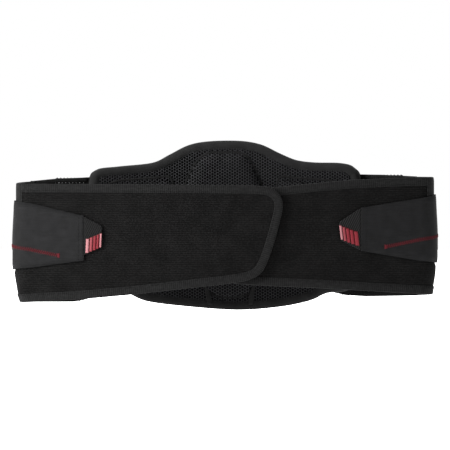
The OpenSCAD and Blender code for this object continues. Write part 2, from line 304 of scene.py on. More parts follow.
class Shader:
    """A small helper to write node trees. uv is the cloth laid flat, in millimetres."""

    def __init__(self, name, rough=0.8, sheen=0.0, sheen_rough=0.5, specular=0.3):
        self.material = bpy.data.materials.new(name)
        self.material.use_nodes = True
        self.tree = self.material.node_tree
        self.bsdf = self.tree.nodes["Principled BSDF"].inputs
        for socket, value in (("Roughness", rough), ("Sheen Weight", sheen), ("Sheen Roughness", sheen_rough),
                              ("Specular IOR Level", specular)):
            self.bsdf[socket].default_value = value
        self.uv = self.node("UVMap", {}, uv_map="cloth")
        self.obj = self.node("TexCoord", {}, "Object")

    def node(self, kind, inputs, out=0, **settings):
        """A new node's output. inputs are numbers or other nodes' outputs, by socket."""
        node = self.tree.nodes.new("ShaderNode" + kind)
        for key, value in settings.items():
            setattr(node, key, value)
        for key, value in inputs.items():
            if isinstance(value, (int, float, tuple)):
                node.inputs[key].default_value = value
            else:
                self.tree.links.new(value, node.inputs[key])
        return node.outputs[out]

    def feed(self, value, socket):
        self.tree.links.new(value, self.bsdf[socket])

    def math(self, kind, a, b=0.0):
        return self.node("Math", {0: a, 1: b}, operation=kind)

    def mix(self, *parts, base=0.0):
        """Sum of (value, weight) pairs and a base."""
        total = base
        for value, weight in parts:
            total = self.math("ADD", self.math("MULTIPLY", value, weight), total)
        return total

    def scale(self, vector, by, turn=0.0):
        return self.node("Mapping", {"Vector": vector, "Scale": by, "Rotation": (0, 0, turn)})

    def axis(self, vector, index):
        return self.node("SeparateXYZ", {0: vector}, index)

    def noise(self, vector, scale, detail=3.0, rough=0.6):
        return self.node("TexNoise", {"Vector": vector, "Scale": scale, "Detail": detail, "Roughness": rough})

    def wave(self, coordinate, pitch):
        """0 to 1 to 0 once in each pitch of a coordinate."""
        turn = self.math("MULTIPLY", coordinate, 2 * math.pi / pitch)
        return self.mix((self.math("SINE", turn), 0.5), base=0.5)

    def ramp(self, value, stops):
        """Colours by place, from 0 to 1."""
        out = self.node("ValToRGB", {0: value})
        elements = out.node.color_ramp.elements
        while len(elements) < len(stops):
            elements.new(0.5)
        for element, (place, colour) in zip(elements, stops):
            element.position = place
            element.color = (*colour, 1)
        return out

    def shades(self, value, colour, *stops, power=GAMMA):
        """Paints darker and lighter shades of a colour: each stop is (place, share of its lightness)."""
        painted = [(place, tuple(c * share ** power for c in colour)) for place, share in stops]
        self.feed(self.ramp(value, painted), "Base Color")

    def bump(self, height, strength, distance):
        """distance is in millimetres."""
        self.feed(self.node("Bump", {"Height": height, "Strength": strength, "Distance": distance * MM}), "Normal")


def brushed_loop(name, level, tint):
    """Loop-faced elastic: fine ribs along the wing, brushed nap, slow mottling."""
    m = Shader(name, rough=0.95, sheen=0.015, sheen_rough=0.45, specular=0.03)
    nap = m.noise(m.scale(m.uv, (0.35, 1.6, 1)), 1.6, 4)
    mottle, tufts = m.noise(m.uv, 0.05, 3), m.noise(m.uv, 0.62, 3)
    rib = m.wave(m.mix((m.axis(m.uv, 1), 1), (nap, 0.5)), 2.3)
    # The ribs show in some places and are brushed out in others
    shown = m.math("MULTIPLY", rib, m.noise(m.uv, 0.03, 2))
    mix = m.mix((shown, 0.17), (nap, 0.34), (mottle, 0.16), (tufts, 0.54), base=0.07)
    m.shades(mix, grey(level, tint), (0.44, 0.4), (0.6, 1), (0.76, 1.85))
    m.bump(m.mix((rib, 0.6), (nap, 1)), 0.55, 0.25)
    return m.material


def tape(name, level):
    """Woven binding tape: fine ribs across its length, which runs along u."""
    m = Shader(name, rough=0.9, sheen=0.015, sheen_rough=0.4, specular=0.05)
    weave = m.mix((m.wave(m.axis(m.uv, 0), 2.1), 0.25), (m.wave(m.axis(m.uv, 1), 1.15), 0.2))
    mix = m.mix((weave, 1), (m.noise(m.uv, 0.35, 4), 0.55))
    m.shades(mix, grey(level), (0.3, 0.5), (0.5, 1), (0.7, 1.5))
    m.bump(weave, 0.7, 0.25)
    return m.material


def elastic(name, level, tint=(1, 1, 1.06)):
    """Smooth woven elastic: very fine ribs across the strap and faint lengthwise streaks."""
    m = Shader(name, rough=0.8, sheen=0.015, sheen_rough=0.35, specular=0.07)
    weave = m.mix((m.wave(m.axis(m.uv, 1), 0.8), 0.5), (m.wave(m.axis(m.uv, 0), 0.62), 0.5))
    streak = m.noise(m.scale(m.uv, (0.05, 0.9, 1)), 1.0, 3)
    patch, grain = m.noise(m.uv, 0.11, 3), m.noise(m.uv, 1.1, 2)
    mix = m.mix((weave, 0.26), (grain, 0.26), (streak, 0.24), (patch, 0.24))
    m.shades(mix, grey(level, tint), (0.38, 0.6), (0.5, 1), (0.62, 1.4))
    m.bump(weave, 0.45, 0.15)
    return m.material


TWILL_PITCH = 2.25
# The diagonal leans the same way on both tabs, while s runs away from the middle on each
TWILL_SLOPE = {LEFT: 0.5, RIGHT: -0.5}


def twill(name, level, slope):
    """Webbing with steep diagonal ribs, in step with the ridges of the mesh."""
    m = Shader(name, rough=0.75, sheen=0.015, sheen_rough=0.4, specular=0.07)
    rib = m.wave(m.mix((m.axis(m.uv, 0), 1), (m.axis(m.uv, 1), slope)), TWILL_PITCH)
    fibre = m.noise(m.uv, 1.6, 3)
    m.shades(m.mix((rib, 0.8), (fibre, 0.3)), grey(level), (0.6, 0.02), (0.7, 0.6), (0.86, 3.6))
    m.bump(fibre, 0.6, 0.15)
    return m.material


def woven(name, level, pitch, sheen=0.015, tint=(1, 1, 1)):
    """Plain weave."""
    m = Shader(name, rough=0.85, sheen=sheen, sheen_rough=0.4, specular=0.05)
    weave = m.math("MULTIPLY", m.wave(m.axis(m.uv, 0), pitch), m.wave(m.axis(m.uv, 1), pitch))
    mix = m.mix((weave, 0.5), (m.noise(m.uv, 0.2, 4), 0.5))
    m.shades(mix, grey(level, tint), (0.2, 0.72), (0.5, 1), (0.8, 1.3))
    m.bump(weave, 0.6, 0.2)
    return m.material


def plush(name, level, sheen=0.0):
    """Soft brushed fabric: nap and slow mottling, no weave."""
    m = Shader(name, rough=1.0, sheen=sheen, sheen_rough=0.5, specular=0.05)
    nap = m.noise(m.uv, 1.4, 5, 0.7)
    mix = m.mix((nap, 0.55), (m.noise(m.uv, 0.09, 3), 0.45))
    m.shades(mix, grey(level), (0.28, 0.74), (0.5, 1), (0.74, 1.28))
    m.bump(nap, 0.5, 0.3)
    return m.material


def thread(name, colour, rough=0.5):
    """Twisted thread: the ply shows as a fine slanting ripple."""
    m = Shader(name, rough=rough, specular=0.03)
    ply = m.wave(m.axis(m.scale(m.obj, (1000, 1000, 1000), 0.6), 0), 0.45)
    mix = m.mix((ply, 0.6), (m.noise(m.obj, 1800, 2), 0.4))
    m.shades(mix, colour, (0.2, 0.6), (0.6, 1), (0.9, 1.4), power=1)
    m.bump(ply, 0.4, 0.08)
    return m.material


def moulded(name, colour, rough=0.45):
    """Moulded rubber with a faint grain."""
    m = Shader(name, rough=rough, specular=0.06)
    grain = m.noise(m.obj, 2500, 3)
    m.shades(grain, colour, (0.3, 0.82), (0.7, 1), power=1)
    m.feed(m.ramp(grain, [(0.3, (rough * 0.8,) * 3), (0.7, (rough * 1.3,) * 3)]), "Roughness")
    m.bump(grain, 0.25, 0.08)
    return m.material


def hook_tape(name):
    """Hook tape: a close grid of dark hooks on a woven ground."""
    m = Shader(name, rough=0.55, specular=0.4)
    hooks = m.math("MULTIPLY", m.wave(m.axis(m.uv, 0), 1.3), m.wave(m.axis(m.uv, 1), 1.0))
    mix = m.mix((hooks, 0.7), (m.noise(m.uv, 0.8, 3), 0.3))
    m.shades(mix, grey(24), (0.25, 12 / 24), (0.6, 1), (0.9, 44 / 24))
    m.bump(hooks, 1.0, 0.6)
    return m.material


def inner(name, colour, rough, scale):
    """A hidden inner part: plain grained plastic, steel or foam."""
    m = Shader(name, rough=rough, specular=0.4)
    grain = m.noise(m.obj, scale, 4)
    m.shades(grain, colour, (0.3, 0.8), (0.7, 1.15), power=1)
    m.bump(grain, 0.3, 0.1)
    return m.material


def paper():
    """The pale floor, with a trace of grain, lit a little past white as on a studio sweep."""
    m = Shader("floor_paper", rough=1.0, specular=0.0)
    m.shades(m.noise(m.obj, 4000, 2), (1, 1, 1), (0.0, 0.93), (1.0, 0.95), power=1)
    m.bsdf["Emission Color"].default_value = (1, 1, 1, 1)
    m.bsdf["Emission Strength"].default_value = 1.6
    return m.material


MAT = {
    "wing_face": brushed_loop("wing_face", 11.8, (1.03, 1.0, 0.99)),
    "lining": woven("wing_lining", 14, 0.8),
    "binding": tape("binding_tape", 19.2),
    "side_binding": tape("side_binding_tape", 20),
    "net": woven("air_mesh", 41, 0.7, 0.02, (1, 1, 1.06)),
    "ground": plush("mesh_ground", 7),
    "rim": plush("rim_plush", 26, 0.02),
    "shell": woven("shell_weave", 17, 1.0),
    "side_net": woven("side_net", 19, 0.7),
    "strap": elastic("strap_elastic", 17),
    # Both tabs have one webbing: the left copy is painted darker than the right, as painted shade
    "twill_left": twill("tab_twill_left", 4.6, TWILL_SLOPE[LEFT]),
    "twill_right": twill("tab_twill_right", 8.6, TWILL_SLOPE[RIGHT]),
    "patch": woven("patch_weave", 15, 1.1),
    "hook": hook_tape("hook_tape"),
    "black_thread": thread("black_thread", grey(11)),
    "rim_thread": thread("rim_thread", grey(22)),
    # The pad seam is darker than the mesh beside it: a sewn seam, partly painted shade of the groove round each pillow
    "seam": plush("pad_seam_and_groove_shade", 23),
    "red_thread": thread("red_thread", (0.045, 0.006, 0.008), 0.6),
    "grip_base": moulded("grip_base", (0.022, 0.002, 0.002), 0.6),
    "grip_red": moulded("grip_red", (0.08, 0.0075, 0.011)),
    # The pale and pink grips are the red rubber painted lighter: painted highlights
    "grip_pink_painted_highlight": moulded("grip_pink_painted_highlight", (0.098, 0.018, 0.022)),
    "grip_pale_painted_highlight": moulded("grip_pale_painted_highlight", (0.165, 0.068, 0.074)),
    "foam": inner("foam_core", (0.09, 0.09, 0.09), 0.9, 900),
    "plate": inner("inner_plate", (0.04, 0.042, 0.045), 0.5, 1500),
    "stay": inner("flexible_stay", (0.25, 0.26, 0.27), 0.4, 1200),
}


# ---------------------------------------------------------------- mesh making

def set_uv(mesh, uv):
    """Gives a mesh its cloth laid flat: a pair per point."""
    layer = mesh.uv_layers.get("cloth") or mesh.uv_layers.new(name="cloth")
    corners = np.empty(len(mesh.loops), dtype=np.int32)
    mesh.loops.foreach_get("vertex_index", corners)
    layer.data.foreach_set("uv", np.asarray(uv, dtype=np.float32)[corners].ravel())


def face_outwards(mesh):
    """Turns a closed mesh's faces outwards."""
    co = np.empty(len(mesh.vertices) * 3)
    mesh.vertices.foreach_get("co", co)
    mesh.calc_loop_triangles()
    corners = np.empty(len(mesh.loop_triangles) * 3, dtype=np.int32)
    mesh.loop_triangles.foreach_get("vertices", corners)
    a, b, c = co.reshape(-1, 3)[corners].reshape(-1, 3, 3).transpose(1, 0, 2)
    if (a * np.cross(b, c)).sum() < 0:
        mesh.flip_normals()


def make(name, points, faces, material, uv=None, caps=0, solid=True):
    """An object from points in metres. The last faces may be caps with sharp edges. A solid is smooth and its faces
    look outwards."""
    mesh = bpy.data.meshes.new(name)
    mesh.from_pydata([tuple(p) for p in points], [], [tuple(int(i) for i in f) for f in faces])
    mesh.materials.append(material)
    if uv is not None:
        set_uv(mesh, uv)
    mesh.polygons.foreach_set("use_smooth", [solid] * len(mesh.polygons))
    if caps:
        sharp = {tuple(sorted(key)) for poly in list(mesh.polygons)[-caps:] for key in poly.edge_keys}
        for edge in mesh.edges:
            edge.use_edge_sharp = tuple(sorted(edge.vertices)) in sharp
    mesh.update()
    if solid:
        face_outwards(mesh)
    obj = bpy.data.objects.new(name, mesh)
    bpy.context.scene.collection.objects.link(obj)
    return obj


def skin(around, count, closed=False):
    """Faces over lines of count points each that stand side by side round a section, and over its open ends."""
    faces = [(k * count + i, k * count + j, (k + 1) % around * count + j, (k + 1) % around * count + i)
             for k in range(around) for i in range(count if closed else count - 1) for j in [(i + 1) % count]]
    if not closed:
        faces.append(tuple(k * count for k in range(around)))
        faces.append(tuple(k * count + count - 1 for k in reversed(range(around))))
    return faces


def waves(s, z, size, depth, seed):
    """Slow unevenness of worn cloth."""
    return np.array([depth * noise.noise(Vector((a / size + seed, b / size * 0.7, seed))) for a, b in zip(s, z)])


def settle(obj, body, nodes=(), over=None):
    """Attaches a piece to the body that it rides on and hides the CAD nodes that it stands for. With over, given as
    (other body, start, end), its transform is only baked in and it rides on no body.
    """
    if over:
        other, start, end = over
        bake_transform(obj)
        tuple(start)
        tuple(end)
    else:
        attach(obj, body)
    if nodes:
        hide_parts(*nodes)
    return obj


def declare(outline):
    """Takes apart a sheet's outline, given flat in (s, z), and does nothing more with it."""
    x, y = np.array(outline).T


def flat_grid(ring, spacing, margin):
    """Triangles over a ring: its own corners and an even grid inside."""
    low, high = ring.min(0), ring.max(0)
    axes = [np.arange(low[k] + spacing / 2, high[k], spacing) for k in (0, 1)]
    grid = np.stack(np.meshgrid(*axes), axis=-1).reshape(-1, 2)
    grid = grid[inside(grid, ring)]
    grid = grid[gap_to(grid, ring) > margin]
    points = [Vector(p) for p in np.vstack([ring, grid])]
    edges = [(i, (i + 1) % len(ring)) for i in range(len(ring))]
    found = geometry.delaunay_2d_cdt(points, edges, [], 1, 1e-5)
    index = {old: new for new, olds in enumerate(found[3]) for old in olds}
    return np.array([tuple(v) for v in found[0]]), [tuple(f) for f in found[2]], [index[i] for i in range(len(ring))]


def cloth(name, place, outline, top, bottom, material, spacing=4.0, lift=None, round_by=0.5):
    """A closed sheet of cloth with rounded edges, cut to a clockwise outline in (s, z)."""
    outer = resample(outline, spacing * 0.6)
    flat, faces, border = flat_grid(inset(outer, round_by), spacing, spacing * 0.45)
    count, rim = len(flat), len(outer)
    extra = lift(*flat.T) if lift else 0
    over, under = ((f(*flat.T) if callable(f) else np.full(count, f)) + extra for f in (top, bottom))
    layers = [(flat, over), (flat, under), (outer, over[border] - round_by), (outer, under[border] + round_by)]
    a, b = 2 * count, 2 * count + rim
    # The triangulation runs anticlockwise in (s, z)
    faces = faces + [tuple(i + count for i in reversed(f)) for f in faces]
    for i in range(rim):
        j = (i + 1) % rim
        faces += [(border[i], border[j], a + j, a + i), (a + i, a + j, b + j, b + i),
                  (b + i, b + j, count + border[j], count + border[i])]
    points = np.vstack([place(*p.T, n) for p, n in layers])
    return make(name, points, faces, material, np.vstack([p for p, _ in layers]))


def sweep(name, place, path, section, material, closed=False, pucker=0.0, lift=None):
    """A closed section of (d, n) swept along a path in (s, z); d is measured inwards from the path."""
    p = resample(path, 1.6, closed)
    inwards, gone = normals(p, closed), lengths(p)
    ripple = 1 + pucker * np.sin(gone * 2 * math.pi / 3.2)
    extra = lift(*p.T) if lift else 0
    points = np.vstack([place(*(p + inwards * d).T, n * ripple + extra) for d, n in section])
    uv = np.vstack([np.stack([gone, np.full(len(p), across)], axis=1) for across in lengths(np.array(section))])
    return make(name, points, skin(len(section), len(p), closed), material, uv, caps=0 if closed else 2)


def channel(half, width=BINDING_W):
    """Section of binding folded over an edge: rounded outside, open inwards."""
    out = half + BINDING_T
    return [
        (width, out - 0.25), (width - 0.35, out), (1.2, out + 0.05), (0.45, out - 0.25), (0.05, half * 0.6),
        (0.05, -half * 0.6), (0.45, -out + 0.25), (1.2, -out - 0.05), (width - 0.35, -out), (width, -out + 0.25),
        (width, -half - 0.08), (1.0, -half - 0.08), (1.0, half + 0.08), (width, half + 0.08),
    ]


# A stitch: place along it, thickness, and rise over the cloth
STITCH_FORM = ((0, 0.25, -0.5), (0.12, 0.8, 0.1), (0.5, 1.0, 0.35), (0.88, 0.8, 0.1), (1, 0.25, -0.5))
STITCH_SIDES = 6


def stitches(name, place, path, d, n, body, over=None, material="black_thread", closed=False, length=2.3,
             gap=1.0, radius=0.2, lift=None):
    """A row of sewn stitches, each a short rounded bead, at depth d inside a path and at height n."""
    p = resample(path, length + gap, closed)
    p = p + normals(p, closed) * d
    a, b = (p, np.roll(p, -1, axis=0)) if closed else (p[:-1], p[1:])
    t, size, rise = np.array(STITCH_FORM).T
    runs = a[:, None] + (b - a)[:, None] * t[:, None] * length / (length + gap)
    along = (b - a) / np.linalg.norm(b - a, axis=1)[:, None]
    across = np.stack([-along[:, 1], along[:, 0]], axis=1)
    turn = 2 * math.pi * np.arange(STITCH_SIDES)[:, None] / STITCH_SIDES
    flat = runs[:, None] + across[:, None, None] * (np.cos(turn) * radius * size)[..., None]
    high = n + (1 if n >= 0 else -1) * rise * radius + np.sin(turn) * radius * size
    q, high = flat.reshape(-1, 2), np.broadcast_to(high, flat.shape[:3]).ravel()
    if lift:
        high = high + lift(*q.T)
    form = skin(STITCH_SIDES, len(STITCH_FORM))
    faces = [tuple(start + i for i in f) for start in range(0, len(q), STITCH_SIDES * len(STITCH_FORM)) for f in form]
    settle(make(name, place(*q.T, high), faces, MAT[material], q), body, (), over)


def unit(v):
    return v / np.linalg.norm(v, axis=1)[:, None]


def zigzag(name, side, points, amp, pitch, n, radius=0.23, lift=None, sides=5):
    """Red zigzag stitching along a line in (s, z); the thread dips into the cloth at each turn."""
    p = np.array(points, float)
    gone = lengths(p)
    count = max(1, round(gone[-1] / pitch))
    phase = np.linspace(0, count, count * 8 + 1)
    t = phase / count * gone[-1]
    base = np.stack([np.interp(t, gone, p[:, 0]), np.interp(t, gone, p[:, 1])], axis=1)
    d = unit(np.gradient(base, axis=0))
    swing = 2 * np.abs(2 * (phase % 1) - 1) - 1
    base = base + np.stack([-d[:, 1], d[:, 0]], axis=1) * (swing * amp)[:, None]
    height = n + radius * 0.8 - 0.45 * np.abs(swing) ** 8 + (lift(*base.T) if lift else 0)
    line = side.at(*base.T, height)
    along = unit(np.gradient(line, axis=0))
    across = unit(np.cross(along, unit(side.at(*base.T, height + 1) - line)))
    up = np.cross(across, along)
    rings = [line + (across * math.cos(t) + up * math.sin(t)) * radius * MM
             for t in (2 * math.pi * k / sides for k in range(sides))]
    return make(name, np.vstack(rings), skin(sides, len(line)), MAT["red_thread"], np.vstack([base] * sides))


def ribbon(name, place, stations, n_in, n_out, material, start_open=False, end_open=False, lift=None):
    """A flat strap between stations (s, top, bottom), with rounded edges. An open end keeps its full thickness."""
    s, tops, bottoms = np.array(sorted(stations)).T
    fine = np.linspace(s[0], s[-1], max(2, round((s[-1] - s[0]) / 1.5)) + 1)
    top, bottom = np.interp(fine, s, tops), np.interp(fine, s, bottoms)
    mid, half = (n_in + n_out) / 2, np.full(len(fine), (n_out - n_in) / 2)
    thin, rounding, steps = 0.45, 0.6, 14
    if not start_open:
        fine[1], half[0] = fine[0] + 0.5, half[0] * thin
    if not end_open:
        fine[-2], half[-1] = fine[-1] - 0.5, half[-1] * thin
    sag = waves(fine, fine * 0, 30, 0.12, 5.5)
    shares = [k / steps for k in range(steps + 1)]
    points, uv = [], []
    for share, face in [(t, 1.0) for t in shares] + [(t, -1.0) for t in reversed(shares)]:
        edge = share in (0.0, 1.0)
        n = mid + sag + face * half * (thin if edge else 1)
        inner = 0 if edge else rounding
        z = bottom + inner + (top - bottom - 2 * inner) * share
        points.append(place(fine, z, n + (lift(fine, z) if lift else 0)))
        uv.append(np.stack([fine, z], axis=1))
    return make(name, np.vstack(points), skin(len(points), len(fine)), material, np.vstack(uv), caps=2)


# ---------------------------------------------------------------- camera, light, floor

def studio():
    """Camera square to the front on a long lens, a pale floor and soft light from the front left."""
    scene = bpy.context.scene
    scene.view_settings.view_transform = "Standard"
    scene.view_settings.look = "None"
    frame_width, middle_z, far, sensor = 465.75, 10.35, 8000, 36
    camera = bpy.data.cameras.new("camera")
    camera.sensor_width = sensor
    camera.lens = sensor * (far - HALF_DEPTH) / frame_width
    camera.clip_end = 100
    holder = bpy.data.objects.new("camera", camera)
    scene.collection.objects.link(holder)
    holder.location = (0, -far * MM, middle_z * MM)
    holder.rotation_euler = (math.pi / 2, 0, 0)
    scene.camera = holder

    world = bpy.data.worlds.new("studio")
    world.use_nodes = True
    world.node_tree.nodes["Background"].inputs[0].default_value = (1, 1, 1, 1)
    world.node_tree.nodes["Background"].inputs[1].default_value = 1.0
    scene.world = world

    lowest, reach = CAD_BOX[0][2] - 0.002, 20.0
    corners = [(x * reach, y * reach, lowest) for x, y in ((-1, -1), (1, -1), (1, 1), (-1, 1))]
    make("floor", corners, [(0, 1, 2, 3)], paper(), solid=False)

    for name, place, size, power in (
        ("key", (-1.3, -0.85, 0.5), 0.8, 90),
        ("top", (0.0, 0.2, 2.2), 1.6, 26),
        ("behind", (0.8, 2.2, 1.0), 1.6, 26),
    ):
        light = bpy.data.lights.new(name, "AREA")
        light.size, light.energy = size, power
        lamp = bpy.data.objects.new(name, light)
        lamp.location = place
        lamp.visible_camera = False
        lamp.rotation_euler = (-Vector(place)).to_track_quat("-Z", "Y").to_euler()
        scene.collection.objects.link(lamp)


studio()


# ---------------------------------------------------------------- wings

REAR_SEAM = 200.0
REAR_Z = {LEFT: (56.0, -70.0), RIGHT: (60.8, -63.2)}


def wing_bend(hand):
    """The bend round a side fold, from the back to the wing."""
    y = FOLD_R * math.cos(SIDES[hand].rear_turn)
    return ("wing_" + NAMES[hand], (hand * HALF_WIDTH * MM, y * MM, 0), (hand * HALF_WIDTH * MM, -y * MM, 0))


def build_wing(hand, points):
    """A front wing from its end, round the side fold, to its seam on the back."""
    side, wing, bend = SIDES[hand], "wing_" + NAMES[hand], wing_bend(hand)
    top, bottom = (f(z for x, z in points if abs(x) > FOLD_END - 0.01) for f in (max, min))
    seam, past_fold = side.back_s(hand * REAR_SEAM), side.s1 + 12
    mapped = side.front_outline(points if hand == RIGHT else points[::-1])
    edge = ([(seam, REAR_Z[hand][1]), (past_fold, bottom - 0.4)] + mapped
            + [(past_fold, top + 0.4), (seam, REAR_Z[hand][0])])
    seed = 3.1 + hand * 2.4
    print_through = resample(OUTER.front_outline(PRINT), 1.0, closed=False)

    def wrinkle(s, z):
        """Slow waves, a few soft creases where the wing has been folded, and the under wing's edge."""
        slow = waves(s, z, 38, 0.5, seed)
        crease = np.exp(-((s + hand * 4 + 0.6 * z) / 16) ** 2) * np.sin((s + 0.35 * z) / 3.4) * 0.22
        if hand == LEFT:
            slow = slow + 0.8 * np.exp(-(gap_to(np.stack([s, z], axis=1), print_through) / 2.4) ** 2)
        return slow + crease * ease(z / 25)

    cut = inset(resample(edge, 2.0), 0.9)
    panel = cloth(wing + "_panel", side.at, cut, WING_HALF, -WING_HALF + 1.25, MAT["wing_face"], 2.6, wrinkle)
    settle(panel, "back", ["wing_panel_" + NAMES[hand], "side_fold_" + NAMES[hand]], bend)
    declare(cut)
    lining = cloth(wing + "_lining", side.at, cut, -WING_HALF + 1.2, -WING_HALF, MAT["lining"], 3.6, wrinkle)
    settle(lining, "back", ["wing_lining_" + NAMES[hand]], bend)
    declare(cut)
    binding = sweep(wing + "_binding", side.at, edge, channel(WING_HALF), MAT["binding"], pucker=0.02, lift=wrinkle)
    settle(binding, "back", ["wing_binding_" + NAMES[hand]], bend)
    stations = [(side.apex + k, top - 1, 24) for k in (-14, 6)]
    corner = ribbon(wing + "_corner_tape", side.at, stations, WING_HALF - 0.3, WING_HALF + BINDING_T + 0.15,
                    MAT["binding"])
    settle(corner, "back", (), bend)
    for sign, label in ((1, "outer"), (-1, "inner")):
        stitches(wing + "_stitches_" + label, side.at, edge, BINDING_W - 1.6, sign * (WING_HALF + BINDING_T + 0.02),
                 "back", bend, lift=wrinkle)


build_wing(LEFT, FLAP)
build_wing(RIGHT, UNDER_WING)


def hook_patch():
    """Hook tape under the end of the outer wing."""
    ring = resample(OUTER.front_outline(FLAP[::-1]), 2.0, closed=False)
    ring = ring + normals(ring, closed=False) * (BINDING_W + 2)
    chain = ring[ring[:, 0] < -4]
    patch = cloth("flap_hooks", OUTER.at, chain, -WING_HALF - 0.05, -WING_HALF - 1.05, MAT["hook"], round_by=0.35)
    settle(patch, "wing_left", ["flap_hook_patch"])
    declare(chain)
    stitches("flap_hooks_stitches", OUTER.at, chain, 2.0, -WING_HALF - 1.05, "wing_left", closed=True)


hook_patch()


# ---------------------------------------------------------------- straps

STRAP_MID = STRAP_IN + STRAP_T / 2
STRAP_OUT = STRAP_IN + STRAP_T
HOOK_T = 1.0
HEM_W = 6.4
ANCHOR_X = 98.0
REAR_TACK_X = 186.0


def on_line(a, b, t):
    return tuple(p + (q - p) * t for p, q in zip(a, b))


def build_strap(hand):
    side, name = SIDES[hand], NAMES[hand]
    wing, strap, fold = "wing_" + name, "strap_" + name, wing_bend(hand)
    (fold_z, start_z, end_z), end_x = STRAP_Z[hand], STRAP_END[hand]
    end, start = side.front_s(end_x, STRAP_MID), side.front_s(hand * STRAP_HINGE, STRAP_MID)
    apex, anchor = side.apex, side.back_s(hand * ANCHOR_X, STRAP_MID)
    # The bend where the strap's front end peels off its wing
    y, x = JOINT_AT[strap + "_peel"][1], STRAP_HINGE * MM
    peel = (strap, (hand * x, y, 0), (hand * (x - 0.011), y, 0))

    def bulge(s, z):
        """The strap stands off the bend towards its lower edge."""
        near = np.clip(1 - ((s - apex) / (apex - start)) ** 2, 0, 1)
        return 1.7 * near ** 2 * ease((fold_z[0] - z) / 45)

    front = ribbon(strap + "_front", side.at, [(end, *end_z), (start, *start_z)], STRAP_IN, STRAP_OUT, MAT["strap"],
                   end_open=True)
    settle(front, wing, [strap], peel)
    rear = ribbon(strap + "_back", side.at, [(start, *start_z), (apex, *fold_z), (anchor, *fold_z)],
                  STRAP_IN, STRAP_OUT, MAT["strap"], start_open=True, lift=bulge)
    settle(rear, "back", ["strap_fold_" + name, "strap_anchor_" + name], fold)

    def across(s):
        """The strap's top and bottom where it narrows towards its end."""
        return on_line(end_z, start_z, (s - end) / (start - end))

    hem_s = side.front_s(end_x + hand * HEM_W, STRAP_MID)
    hem = ribbon(strap + "_hem", side.at, [(end + 0.1, *end_z), (hem_s, *across(hem_s))], STRAP_IN - 1.05,
                 STRAP_IN - 0.03, MAT["strap"])
    settle(hem, strap, ["strap_hem_" + name])
    sew_s = side.front_s(end_x + hand * (HEM_W - 0.8), STRAP_MID)
    for label, s in (("hem", sew_s), ("edge", end + 1.3)):
        high, low = across(s)
        stitches(strap + "_stitches_" + label, side.at, [(s, low + 1.2), (s, high - 1.2)], 0, STRAP_OUT, strap,
                 material="strap", gap=0.9)

    patch_from, patch_to = (side.front_s(end_x + hand * k, STRAP_MID) for k in (8, 44))
    low, high = end_z[1] + 3, end_z[0] - 3
    box = [(patch_from, low), (patch_from, high), (patch_to, high), (patch_to, low)]
    hooks = cloth(strap + "_hooks", side.at, box, STRAP_IN - 0.05, STRAP_IN - HOOK_T - 0.05, MAT["hook"],
                  round_by=0.35)
    settle(hooks, strap, ["strap_hook_" + name])
    declare(box)

    # Red stitching: along the front, on round the fold, with a bar tack at each end
    (far_x, far_z), (tack_x, tack_z) = STITCH[hand]
    tack, rear_tack = side.front_s(tack_x, STRAP_OUT), side.back_s(hand * REAR_TACK_X, STRAP_OUT)
    z_start = tack_z + (far_z - tack_z) * (abs(STRAP_HINGE) - abs(tack_x)) / (abs(far_x) - abs(tack_x))
    red = zigzag(strap + "_red_stitches", side, [(tack, tack_z), (start - 0.2, z_start)], 2.2, 2.0, STRAP_OUT, 0.26)
    settle(red, wing, ["strap_stitch_" + name], peel)
    bar = zigzag(strap + "_bar_tack", side, [(tack - 0.2, tack_z - 2.0), (tack - 0.2, tack_z + 2.0)], 1.5, 0.6,
                 STRAP_OUT + 0.1)
    settle(bar, strap)
    run = [(start, z_start), (apex, far_z + 0.8), (rear_tack, far_z + 1.5)]
    red = zigzag(strap + "_red_stitches_fold", side, run, 2.2, 2.0, STRAP_OUT, 0.26, bulge)
    settle(red, "back", (), fold)
    bar = zigzag(strap + "_bar_tack_back", side, [(rear_tack, far_z - 0.7), (rear_tack, far_z + 3.7)], 1.25, 0.62,
                 STRAP_OUT + 0.1)
    settle(bar, "back")

    # Sewn patch over the strap's end on the back
    inner_s, outer_s = (side.back_s(hand * k, STRAP_OUT) for k in (ANCHOR_X - 4, ANCHOR_X + 18))
    low, high = fold_z[1] - 4, fold_z[0] + 4
    ring = [(outer_s, low), (outer_s, high), (inner_s, high), (inner_s, low)]

    def drape(s, z):
        past = np.maximum.reduce([z - fold_z[0], fold_z[1] - z, s - anchor])
        return -2.9 * ease((past + 0.6) / 2.6)

    patch = cloth("anchor_" + name + "_patch", side.at, ring, STRAP_OUT + 1.1, STRAP_OUT + 0.05, MAT["patch"], 2.0,
                  drape, 0.4)
    settle(patch, "back", ["anchor_patch_" + name])
    declare(ring)
    near, far, low, high = outer_s + 3.5, inner_s - 7.5, low + 7, high - 7
    box = [(near, low), (near, high), (far, high), (far, low)]
    for index, line in enumerate((box + box[:1], box[0::2], box[1::2])):
        stitches("anchor_" + name + "_stitches_" + str(index), side.at, line, 0, STRAP_OUT + 1.12, "back")


for hand in (LEFT, RIGHT):
    build_strap(hand)


# ---------------------------------------------------------------- pull tabs

TAB_T = 2.0
BAR_H = 15.0
BAR_GAP = 1.0
# Widths narrow towards the tip
BAR_SHARES = (1.0, 0.85, 0.8, 0.68, 0.58)
BARS = len(BAR_SHARES)
# The pale and pink bars are the red rubber painted lighter: painted highlights of gloss, set differently on each tab
BAR_COLOURS = {LEFT: ("grip_pale_painted_highlight", "grip_pink_painted_highlight", "grip_red", "grip_red", "grip_pale_painted_highlight"),
               RIGHT: ("grip_red", "grip_red", "grip_red", "grip_pink_painted_highlight", "grip_pale_painted_highlight")}
